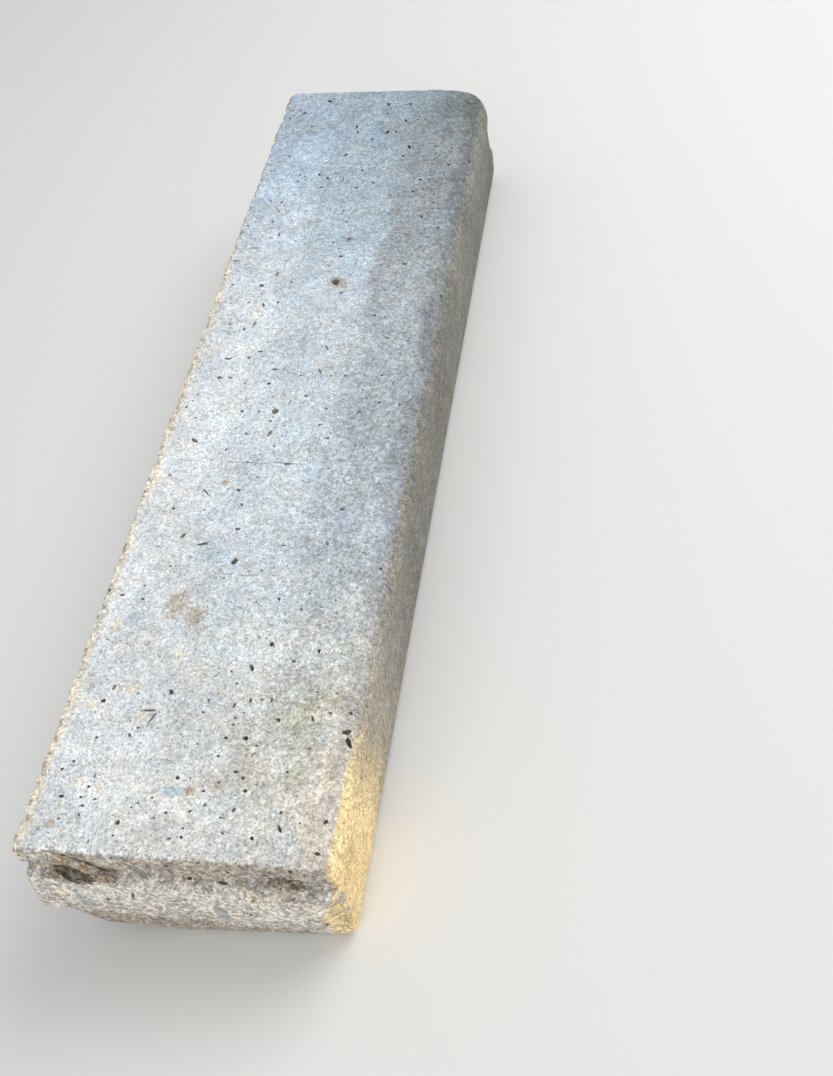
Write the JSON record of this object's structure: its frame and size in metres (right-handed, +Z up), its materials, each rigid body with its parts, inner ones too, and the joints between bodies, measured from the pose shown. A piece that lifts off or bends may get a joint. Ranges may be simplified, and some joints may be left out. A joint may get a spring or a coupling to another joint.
{
  "type": "concrete kerb stone",
  "caption": "Straight concrete kerb stone lying on its sloping road face, with a tongue across one end and a matching groove in the other.",
  "frame": {"origin": "on the floor under the centre of the lying stone's bounding box", "axes": "+Z up from the floor, +Y along the stone from its tongue end to its groove end, +X from the foot side to the head side"},
  "size_m": [0.2701, 1.013, 0.1658],
  "materials": {
    "concrete": "fair-faced cast concrete, weathered, with small air holes, sand speckle and a few rust stains"
  },
  "bodies": {
    "root": {"kerb_stone": "concrete"}
  },
  "joints": []
}
